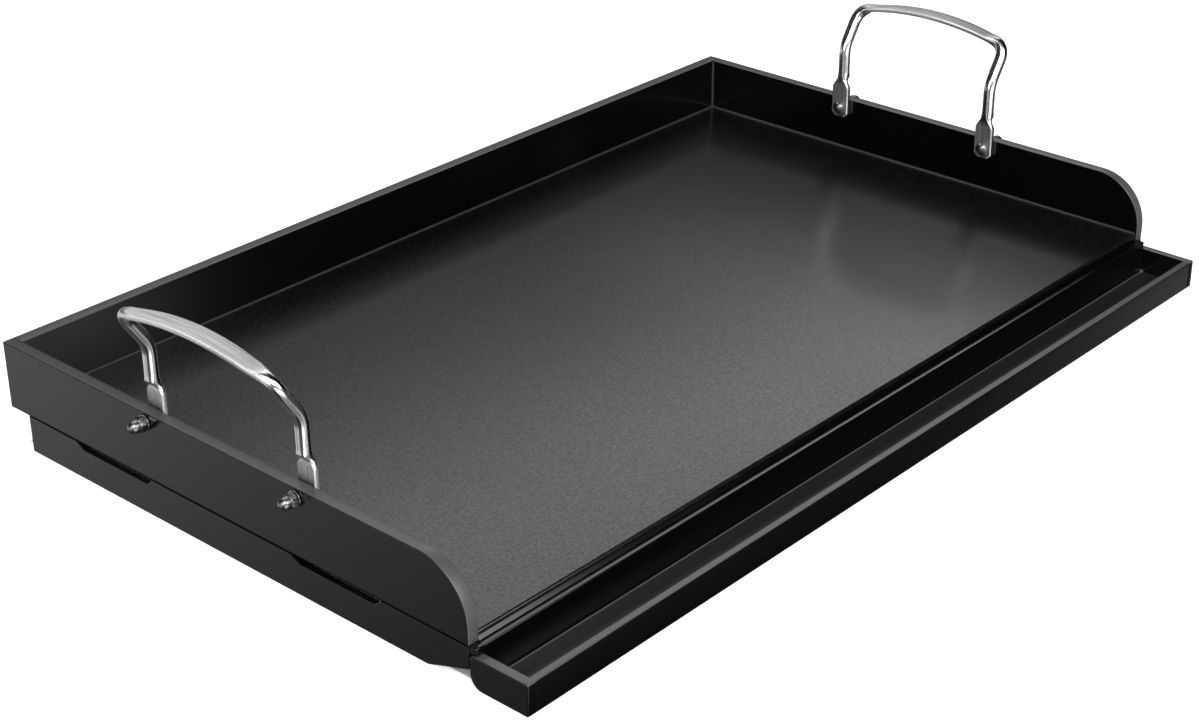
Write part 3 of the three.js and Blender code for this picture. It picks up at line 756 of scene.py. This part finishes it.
def handlePath(low, high, rim, wallOuter):
    # middle of the rod from the rear foot to the front foot, drawn for the right side
    halfSpan = (high.y - low.y) / 2 - handle["paddleWidth"] / 2
    middle = (low.y + high.y) / 2
    legX = low.x + handle["rod"]
    gripX = wallOuter + handle["gripOffset"]
    foot = Vector((legX, halfSpan, low.z))
    knee = Vector((legX, halfSpan, rim + handle["kneeHeight"]))
    corner = Vector((gripX, halfSpan, rim + handle["gripHeight"]))
    lean = (corner - knee).normalized()

    def gripAt(y):
        arch = handle["gripRise"] * (1 - (y / halfSpan) ** 2)
        return Vector((gripX, y, rim + handle["gripHeight"] + arch))

    reach, bend, gripSteps = handle["cornerReach"], handle["kneeReach"], handle["gripSteps"]
    points = [foot]
    points += bendPoints(knee - Vector((0, 0, bend)), knee, knee + lean * bend, handle["kneeSteps"])
    points += bendPoints(corner - lean * reach, corner, gripAt(halfSpan - reach), handle["cornerSteps"])
    points += [gripAt((halfSpan - reach) * (1 - i / gripSteps)) for i in range(1, gripSteps + 1)]
    mirrored = [Vector((p.x, -p.y, p.z)) for p in points[-2::-1]]
    return [p + Vector((0, middle, 0)) for p in points + mirrored], halfSpan, middle


def resampled(points, step):
    lengths = [0.0]
    for a, b in zip(points, points[1:]):
        lengths.append(lengths[-1] + (b - a).length)
    count = ceil(lengths[-1] / step)
    out, i = [], 0
    for k in range(count + 1):
        want = lengths[-1] * k / count
        while i < len(points) - 2 and lengths[i + 1] < want:
            i += 1
        share = (want - lengths[i]) / (lengths[i + 1] - lengths[i])
        out.append((points[i].lerp(points[i + 1], share), want))
    return out, lengths[-1]


def addHandle(side, sign):
    low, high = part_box("right_handle")
    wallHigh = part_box("right_end_wall")[1]
    path, halfSpan, middle = handlePath(low, high, wallHigh.z, wallHigh.x)
    stations, total = resampled(path, handle["step"])
    paddleTop = wallHigh.z + handle["shoulder"] - low.z  # along the leg, from the foot
    rise, cut, end = handle["shoulderRise"], handle["cornerCut"], handle["endRound"]
    rod, thin = handle["rod"], handle["paddleThickness"] / 2
    gripStart = halfSpan - handle["cornerReach"] * handle["legEndShare"]
    legEnd = next(s for p, s in stations if abs(p.y - middle) < gripStart)
    extra = [i * end / 5 for i in (1, 2, 3, 4)]
    spots = sorted({s for _, s in stations} | set(extra) | {total - s for s in extra} | {cut, total - cut})

    def pointAt(s):
        i = min(len(stations) - 2, int(s / total * (len(stations) - 1)))
        a, b = stations[i], stations[i + 1]
        return a[0].lerp(b[0], (s - a[1]) / (b[1] - a[1]))

    mesh = bmesh.new()
    lengthwise = mesh.loops.layers.uv.new("alongBar")
    brushed = mesh.verts.layers.float.new("brushed")
    rings = []
    outwards = Vector((1, 0, 0))
    for s in spots:
        fromFoot = min(s, total - s)
        here = pointAt(s)
        tangent = (pointAt(min(total, s + 1 * mm)) - pointAt(max(0.0, s - 1 * mm))).normalized()
        normal = (outwards - tangent * outwards.dot(tangent)).normalized()
        flat = tangent.cross(normal)
        toRod = ramp(fromFoot, paddleTop, paddleTop + rise)
        toGrip = ease(fromFoot, legEnd + handle["gripFrom"], legEnd + handle["gripFull"])
        thicken = ease(fromFoot, paddleTop + handle["stepFrom"], paddleTop + handle["stepTo"])
        crown = 1 - min(1.0, abs(here.y - middle) / halfSpan) ** 2
        gripHalf = (handle["gripEndWidth"] + (handle["gripWidth"] - handle["gripEndWidth"]) * crown) / 2
        paddleHalf = handle["paddleWidth"] / 2 - max(0.0, cut - fromFoot)
        through = thin + (rod - thin) * thicken
        across = paddleHalf + (rod - paddleHalf) * toRod
        through += (gripHalf - through) * toGrip
        across += (handle["gripThickness"] / 2 - across) * toGrip
        turnOver = handle["paddleRound"]
        turnOver += (rod - turnOver) * ramp(fromFoot, paddleTop - handle["flatFrom"],
                                            paddleTop + handle["flatEnd"])
        turnOver += (handle["gripRound"] - turnOver) * toGrip
        if fromFoot < end:  # rounded over at the foot
            shrink = end * (1 - (1 - (1 - fromFoot / end) ** 2) ** 0.5)
            through, across = through - shrink, across - shrink
        offset = (thin - rod) * (1 - thicken)
        turnOver = min(turnOver, through, across)
        ring, run = [], [0.0]
        for k in range(handle["around"]):  # a rounded rectangle, or a circle where its corners meet
            angle = 2 * pi * (k + 0.5) / handle["around"]
            c, t = cos(angle), sin(angle)
            n = (through - turnOver) * (1 if c > 0 else -1) + turnOver * c + offset
            f = (across - turnOver) * (1 if t > 0 else -1) + turnOver * t
            p = here + normal * n + flat * f
            corner = mesh.verts.new((sign * p.x, p.y, p.z))
            corner[brushed] = max(1 - toRod, toGrip)
            if ring:
                run.append(run[-1] + (corner.co - ring[-1].co).length)
            ring.append(corner)
        run.append(run[-1] + (ring[0].co - ring[-1].co).length)
        rings.append((ring, run, s))
    for (lower, run0, s0), (upper, run1, s1) in zip(rings, rings[1:]):
        for k in range(handle["around"]):
            face = mesh.faces.new((lower[k], lower[(k + 1) % handle["around"]],
                                   upper[(k + 1) % handle["around"]], upper[k]))
            spans = [(run0[k], s0), (run0[k + 1], s0), (run1[k + 1], s1), (run1[k], s1)]
            for loop, spot in zip(face.loops, spans):
                loop[lengthwise].uv = spot
    mesh.faces.new(rings[0][0])
    mesh.faces.new(rings[-1][0])
    bar = finishMesh(mesh, f"handle_{side}", finishes["stainless_rod"], handle["creaseAngle"])
    settle(bar, "stainless_rod", f"{side}_handle")


for side, sign in sides.items():
    addHandle(side, sign)
print("handles: two bent bars")


fastener = {"hexFlats": 8 * mm, "hexHeight": 3.8 * mm, "chamfer": 0.45 * mm, "domeRadius": 3.75 * mm,
            "washerRadius": 4.75 * mm, "washerEdge": 0.2 * mm, "washerBevel": 0.06 * mm,
            "headRadius": 4.4 * mm, "headHeight": 3.6 * mm, "headRim": 0.5 * mm,
            "headBreak": 0.1 * mm, "shankRadius": 2.35 * mm, "shankClear": 0.05 * mm,
            "segments": 48, "arcSteps": 12, "creaseAngle": 28, "mostTurn": 60, "seed": 4}


def turnedPattern(profile, flats=0.0):
    # turns (radius, height) pairs round +X; with flats, the radius is cut back to a hexagon of that width
    count = fastener["segments"]
    mesh = bmesh.new()
    rings = []
    for radius, height in profile:
        if radius == 0:
            rings.append([mesh.verts.new((height, 0, 0))])
            continue
        ring = []
        for k in range(count):
            angle = 2 * pi * k / count
            reach = radius
            if flats:
                reach = min(radius, flats / 2 / cos((angle + pi / 6) % (pi / 3) - pi / 6))
            ring.append(mesh.verts.new((height, reach * cos(angle), reach * sin(angle))))
        rings.append(ring)
    for lower, upper in zip(rings, rings[1:]):
        for k in range(count):
            around = [lower[k % len(lower)], lower[(k + 1) % count % len(lower)],
                      upper[(k + 1) % count % len(upper)], upper[k % len(upper)]]
            unique = list(dict.fromkeys(around))
            mesh.faces.new(unique)
    return mesh


def boltSeed(nodes, x):
    # one point for each fastener, on its axis, at distance x from the middle of the griddle
    data = bpy.data.meshes.new("boltSeed")
    places = []
    for node in nodes:
        low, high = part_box(node)
        middle = (low + high) / 2
        places.append((x if middle.x > 0 else -x, middle.y, middle.z))
    data.from_pydata(places, [], [])
    return data


def addFasteners():
    boltTree = makeBoltTree()
    flats, dome, hexTop = fastener["hexFlats"], fastener["domeRadius"], fastener["hexHeight"]
    corner = flats / 2 / cos(pi / 6)
    nutLow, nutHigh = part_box("acorn_nut_right_front")
    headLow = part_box("handle_screw_right_front")[0]
    washerLow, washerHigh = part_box("handle_washer_right_front")
    height = nutHigh.x - nutLow.x
    angles = [pi / 2 * i / fastener["arcSteps"] for i in range(fastener["arcSteps"])]
    nutProfile = [(0, 0), (flats / 2 - 0.2 * mm, 0), (flats / 2, 0.05 * mm), (corner, fastener["chamfer"]),
                  (corner, hexTop - 0.5 * mm), (flats / 2 - 0.05 * mm, hexTop - 0.05 * mm),
                  (dome - 0.15 * mm, hexTop), (dome, hexTop + 0.25 * mm)]
    nutProfile += [(dome * cos(t), height - dome + dome * sin(t)) for t in angles] + [(0, height)]
    shank, head, rise = fastener["shankRadius"], fastener["headRadius"], fastener["headHeight"]
    rim, soft, length = fastener["headRim"], fastener["headBreak"], washerHigh.x - headLow.x - rise
    crown = [(head * cos(t), -rim - (rise - rim) * sin(t)) for t in angles]
    screwProfile = [(0, -rise)] + crown[::-1] + [(head, -soft), (head - soft, 0), (shank, 0),
                                                 (shank, length), (0, length)]
    hole, outer = shank + fastener["shankClear"], fastener["washerRadius"]
    thick, edge, bevel = washerHigh.x - washerLow.x, fastener["washerEdge"], fastener["washerBevel"]
    washerProfile = [(hole, 0), (outer - edge, 0), (outer - bevel, bevel), (outer, edge),
                     (outer, thick - edge), (outer - bevel, thick - bevel), (outer - edge, thick),
                     (hole, thick), (hole, 0)]
    kinds = {  # node stem, profile, hexagon width, distance from the middle, most turn
        "acorn_nuts": ("acorn_nut", nutProfile, flats, nutLow.x, radians(fastener["mostTurn"])),
        "bolt_washers": ("handle_washer", washerProfile, 0.0, washerLow.x, 0.0),
        "round_head_screws": ("handle_screw", screwProfile, 0.0, headLow.x + rise, 0.0),
    }
    for name, (stem, profile, cut, x, turn) in kinds.items():
        mesh = turnedPattern(profile, cut)
        bmesh.ops.remove_doubles(mesh, verts=mesh.verts, dist=1e-6)
        pattern = finishMesh(mesh, name + "Pattern", None, fastener["creaseAngle"])
        nodes = [f"{stem}_{side}_{end}" for side in sides for end in ("rear", "front")]
        piece = growPiece(name, boltSeed(nodes, x), boltTree, {
            "Pattern": pattern, "Most turn": turn, "Seed": fastener["seed"],
            "Finish": finishes["polished_steel"]})
        bpy.data.objects.remove(pattern)
        settle(piece, "polished_steel", *nodes)


addFasteners()
print("fasteners: screws, washers and acorn nuts")


floorBoard = {"half": 9.0, "colour": "#f6f6f6", "foot": (0.312, 0.2), "glowFrom": 0.9, "glowTo": 2.6,
              "glowNear": 0.55, "glowFar": 0.95, "rough": 0.9, "gloss": 0.1}
view = {"azimuth": -48.062, "elevation": 27.28, "roll": -0.395, "lens": 68.26,
        "place": (-0.94968, -0.81933, 0.64343)}
# (compass angle from +X, brightness) of the room low down: one white panel in front with a dark gap on
# each side of it, and grey all round otherwise
roomBands = [(-180, 0.7), (-172, 0.1), (-135, 0.1), (-124, 2.8), (-80, 2.8), (-69, 0.1), (-34, 0.02),
             (-18, 0.2), (10, 0.4), (100, 0.7), (122, 0.95), (140, 0.7), (180, 0.7)]
roomFade = {"steep": -0.6, "low": -0.4, "steepShare": 0.08, "level": 0.02, "below": -0.08,
            "everywhere": 0.03}  # Z of the direction looked in, and brightness
softboxes = {  # middle, the point it faces, width and depth, brightness
    "overheadFront": ((1.25, 0.95, 1.5), (1.25, 0.95, 0), (3.5, 0.7), 2.3),
    "overheadMiddle": ((1.25, 1.45, 1.5), (1.25, 1.45, 0), (3.5, 0.3), 1.3),
    "overheadRear": ((1.25, 2.0, 1.5), (1.25, 2.0, 0), (3.5, 0.8), 0.42),
    "overheadRight": ((2.68, 1.72, 1.48), (2.68, 1.72, 0), (0.64, 0.9), 0.5),
    "cornerSoftbox": ((-1.5, -1.5, 2.0), (0, 0, 0), (1.8, 1.8), 6.5),
    "leftSoftbox": ((-2.0, -0.3, 0.7), (0, 0, 0.1), (1.4, 1.1), 2.6),
    "frontSoftbox": ((0.1, -1.6, 1.05), (0, 0, 0.1), (1.1, 1.1), 5.0),
}


def addFloor():
    half = floorBoard["half"]
    mesh = bmesh.new()
    mesh.faces.new([mesh.verts.new((x, y, 0)) for x, y in
                    ((-half, -half), (half, -half), (half, half), (-half, half))])
    # Matt painted board, lit through from below except under the griddle. It is clear to glossy and
    # to shadow rays, so that the coating and the steel mirror the room and not the board.
    material, tree, shader = startFinish("mattPaleBoard")
    place = addNode(tree, "ShaderNodeTexCoord").outputs["Object"]
    apart = addNode(tree, "ShaderNodeSeparateXYZ", None, {"Vector": place})
    footX, footY = floorBoard["foot"]
    beyond = []
    for axis, foot in (("X", footX), ("Y", footY)):
        reach = addNode(tree, "ShaderNodeMath", {"operation": "ABSOLUTE"}, {0: apart.outputs[axis]})
        outside = addNode(tree, "ShaderNodeMath", {"operation": "GREATER_THAN"},
                          {0: reach.outputs[0], 1: foot})
        beyond.append(outside.outputs[0])
    lit = addNode(tree, "ShaderNodeMath", {"operation": "MAXIMUM"}, {0: beyond[0], 1: beyond[1]})
    away = addNode(tree, "ShaderNodeVectorMath", {"operation": "LENGTH"}, {0: place})
    glow = addNode(tree, "ShaderNodeMapRange", {"interpolation_type": "SMOOTHSTEP"},
                   {"Value": away.outputs["Value"], "From Min": floorBoard["glowFrom"],
                    "From Max": floorBoard["glowTo"], "To Min": floorBoard["glowNear"],
                    "To Max": floorBoard["glowFar"]})
    strength = addNode(tree, "ShaderNodeMath", {"operation": "MULTIPLY"},
                       {0: lit.outputs[0], 1: glow.outputs["Result"]})
    tree.links.new(strength.outputs[0], shader.inputs["Emission Strength"])
    path = addNode(tree, "ShaderNodeLightPath")
    passed = addNode(tree, "ShaderNodeMath", {"operation": "MAXIMUM"},
                     {0: path.outputs["Is Glossy Ray"], 1: path.outputs["Is Shadow Ray"]})
    clear = addNode(tree, "ShaderNodeBsdfTransparent")
    either = addNode(tree, "ShaderNodeMixShader", None,
                     {0: passed.outputs[0], 1: shader.outputs["BSDF"], 2: clear.outputs["BSDF"]})
    tree.links.new(either.outputs["Shader"], tree.nodes["Material Output"].inputs["Surface"])
    shader.inputs["Base Color"].default_value = toLinear(floorBoard["colour"])
    shader.inputs["Roughness"].default_value = floorBoard["rough"]
    shader.inputs["Specular IOR Level"].default_value = floorBoard["gloss"]
    shader.inputs["Emission Color"].default_value = toLinear("#ffffff")
    floor = finishMesh(mesh, "studio_floor", material)


def addLights():
    for name, (middle, faces, size, radiance) in softboxes.items():
        light = bpy.data.lights.new(name, "AREA")
        light.shape = "RECTANGLE"
        light.size, light.size_y = size
        light.energy = radiance * pi * light.size * light.size_y
        lamp = bpy.data.objects.new(name, light)
        back = (Vector(middle) - Vector(faces)).to_track_quat("Z", "Y")
        lamp.matrix_world = Matrix.Translation(middle) @ back.to_matrix().to_4x4()
        lamp.visible_camera = False
        bpy.context.scene.collection.objects.link(lamp)


def addRoom():
    # bands of light by compass direction, fading out downwards and above the horizon
    world = bpy.data.worlds.new("studioRoom")
    bpy.context.scene.world = world
    world.use_nodes = True
    tree = world.node_tree
    tree.nodes.clear()
    seen = addNode(tree, "ShaderNodeLightPath").outputs["Is Camera Ray"]
    towards = addNode(tree, "ShaderNodeTexCoord").outputs["Generated"]
    apart = addNode(tree, "ShaderNodeSeparateXYZ", None, {"Vector": towards})
    compass = addNode(tree, "ShaderNodeMath", {"operation": "ARCTAN2"},
                      {0: apart.outputs["Y"], 1: apart.outputs["X"]})
    turn = addNode(tree, "ShaderNodeMapRange", None,
                   {"Value": compass.outputs[0], "From Min": -pi, "From Max": pi})
    bands = addNode(tree, "ShaderNodeValToRGB", None, {"Fac": turn.outputs["Result"]})
    stops = bands.color_ramp.elements
    brightest = max(level for _, level in roomBands)
    for angle, level in roomBands[1:-1]:
        stops.new((angle + 180) / 360)
    for stop, (angle, level) in zip(stops, roomBands):
        stop.position = (angle + 180) / 360
        stop.color = (level / brightest,) * 3 + (1,)
    downwards = addNode(tree, "ShaderNodeMapRange", None,
                        {"Value": apart.outputs["Z"], "From Min": roomFade["steep"],
                         "From Max": roomFade["low"], "To Min": roomFade["steepShare"],
                         "To Max": 1.0})
    below = addNode(tree, "ShaderNodeMapRange", None,
                    {"Value": apart.outputs["Z"], "From Min": roomFade["level"],
                     "From Max": roomFade["below"]})
    low = addNode(tree, "ShaderNodeMath", {"operation": "MULTIPLY"},
                  {0: downwards.outputs["Result"], 1: below.outputs["Result"]})
    strength = addNode(tree, "ShaderNodeMath", {"operation": "MULTIPLY_ADD"},
                       {0: low.outputs[0], 1: brightest, 2: roomFade["everywhere"]})
    room = addNode(tree, "ShaderNodeBackground", None,
                   {"Color": bands.outputs["Color"], "Strength": strength.outputs[0]})
    backdrop = addNode(tree, "ShaderNodeBackground", None,
                       {"Color": toLinear("#ffffff"), "Strength": 1.0})
    either = addNode(tree, "ShaderNodeMixShader", None,
                     {0: seen, 1: room.outputs["Background"], 2: backdrop.outputs["Background"]})
    addNode(tree, "ShaderNodeOutputWorld", None, {"Surface": either.outputs["Shader"]})


def addCamera():
    azimuth, elevation, roll = (radians(view[name]) for name in ("azimuth", "elevation", "roll"))
    back = Vector((sin(azimuth) * cos(elevation), -cos(azimuth) * cos(elevation), sin(elevation)))
    level = Vector((0, 0, 1)).cross(back).normalized()
    above = back.cross(level)
    right = level * cos(roll) + above * sin(roll)
    up = above * cos(roll) - level * sin(roll)
    data = bpy.data.cameras.new("studioCamera")
    data.sensor_width = 36
    data.lens = view["lens"]
    camera = bpy.data.objects.new("studioCamera", data)
    camera.matrix_world = Matrix((right, up, back)).transposed().to_4x4()
    camera.matrix_world.translation = view["place"]
    bpy.context.scene.collection.objects.link(camera)
    bpy.context.scene.camera = camera


addFloor()
addLights()
addRoom()
addCamera()
bpy.context.scene.view_settings.view_transform = "Standard"
print("studio: floor, lights, room and camera")
